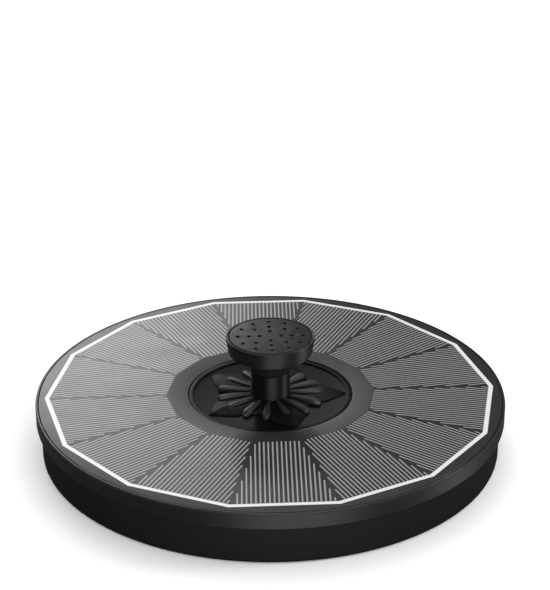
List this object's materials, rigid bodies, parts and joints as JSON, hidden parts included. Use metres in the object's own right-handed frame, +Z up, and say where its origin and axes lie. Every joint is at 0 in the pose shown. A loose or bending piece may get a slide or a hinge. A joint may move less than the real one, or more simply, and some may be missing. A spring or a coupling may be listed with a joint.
{
  "type": "solar fountain pump",
  "caption": "Round floating solar fountain: disc body with a ring of solar cells, a flower-shaped centre cover, a riser tube and a pull-off spray nozzle over a pump, filter door and battery.",
  "frame": {"origin": "centre of the flat underside", "axes": "+Z up through the riser and nozzle; -Y is the front, the middle of one solar cell; +X to the right"},
  "size_m": [0.16, 0.16, 0.0402],
  "materials": {
    "battery_blue": "shrink sleeve",
    "black_matt": "matt",
    "black_satin": "satin",
    "board_green": "solder resist",
    "border_white": "printed",
    "cell_grey": "satin",
    "ceramic": "ground",
    "chip_black": "moulded",
    "copper": "enamelled wire",
    "ferrite": "matt",
    "foam": "open foam",
    "grey_satin": "satin",
    "ivory": "moulded",
    "panel_black": "satin laminate",
    "pump_black": "matt",
    "rubber": "matt",
    "steel": "bright",
    "wire_black": "smooth",
    "wire_red": "smooth"
  },
  "bodies": {
    "hull": {"battery_cell": "battery_blue", "battery_lead": "wire_red", "battery_pad": "foam", "bottom_shell": "black_matt", "cable_gland": "rubber", "case_screw_1": "steel", "case_screw_2": "steel", "case_screw_3": "steel", "case_screw_4": "steel", "case_screw_5": "steel", "case_screw_6": "steel", "charge_chip": "chip_black", "control_board": "board_green", "flower_cover": "black_satin", "motor_cap": "pump_black", "motor_chip": "chip_black", "panel_board": "panel_black", "panel_border": "border_white", "panel_lead": "wire_red", "pump_housing": "pump_black", "pump_lead": "wire_black", "pump_screw_1": "steel", "pump_screw_2": "steel", "pump_shaft": "ceramic", "riser_seal": "rubber", "riser_tube": "black_satin", "seal_ring": "rubber", "solar_cell_01": "cell_grey", "solar_cell_02": "cell_grey", "solar_cell_03": "cell_grey", "solar_cell_04": "cell_grey", "solar_cell_05": "cell_grey", "solar_cell_06": "cell_grey", "solar_cell_07": "cell_grey", "solar_cell_08": "cell_grey", "solar_cell_09": "cell_grey", "solar_cell_10": "cell_grey", "solar_cell_11": "cell_grey", "solar_cell_12": "cell_grey", "solar_cell_13": "cell_grey", "solar_cell_14": "cell_grey", "stator_coil_1": "copper", "stator_coil_2": "copper", "stator_coil_3": "copper", "stator_coil_4": "copper", "stator_coil_5": "copper", "stator_coil_6": "copper", "stator_core": "steel", "switch_body": "chip_black", "top_shell": "black_satin", "volute_cover": "pump_black"},
    "nozzle": {"nozzle_cup": "black_satin", "nozzle_seal": "rubber", "spray_plate": "grey_satin"},
    "filter_door": {"filter_door": "black_matt", "filter_sponge": "foam"},
    "rotor": {"impeller": "ivory", "rotor_magnet": "ferrite"},
    "button": {"power_button": "rubber"}
  },
  "joints": [
    {"name": "nozzle_pull", "type": "slide", "parent": "hull", "child": "nozzle", "axis": [0, 0, 1], "range_m": [0, 0.012]},
    {"name": "filter_turn", "type": "hinge", "parent": "hull", "child": "filter_door", "pos_m": [0, 0, 0.0025], "axis": [0, 0, 1], "range_deg": [0, 30]},
    {"name": "impeller_spin", "type": "hinge", "parent": "hull", "child": "rotor", "pos_m": [0, 0.0175, 0.008], "axis": [0, 0, 1], "continuous": true},
    {"name": "button_press", "type": "slide", "parent": "hull", "child": "button", "axis": [0, 0, 1], "range_m": [0, 0.0006], "stiffness_N_per_m": 2500}
  ]
}
